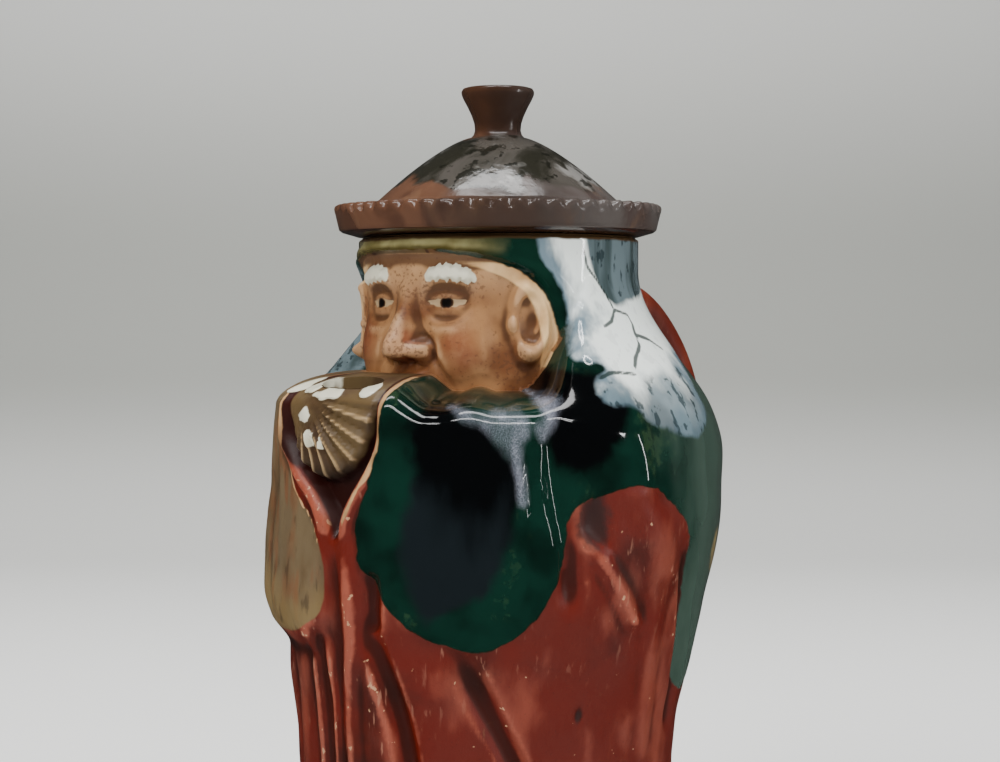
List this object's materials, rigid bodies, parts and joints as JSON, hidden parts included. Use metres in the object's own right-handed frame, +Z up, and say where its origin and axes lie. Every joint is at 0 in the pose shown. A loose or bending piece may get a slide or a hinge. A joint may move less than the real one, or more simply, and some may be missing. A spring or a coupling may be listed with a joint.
{
  "type": "figural lidded jug",
  "caption": "Hollow glazed stoneware jug shaped as a hooded robed figure, with a pleated pouring lip, a back loop handle and a loose domed lid.",
  "frame": {"origin": "middle of the flat underside, below the neck's axis", "axes": "+Z up along the neck, -Y to the figure's front and pouring lip, +Y to the handle"},
  "size_m": [0.145, 0.1701, 0.2694],
  "materials": {
    "jug_body": "painted and part glazed",
    "lid_body": "lustrous glaze"
  },
  "bodies": {
    "root": {"jug": "jug_body", "lid": "lid_body"}
  },
  "joints": []
}
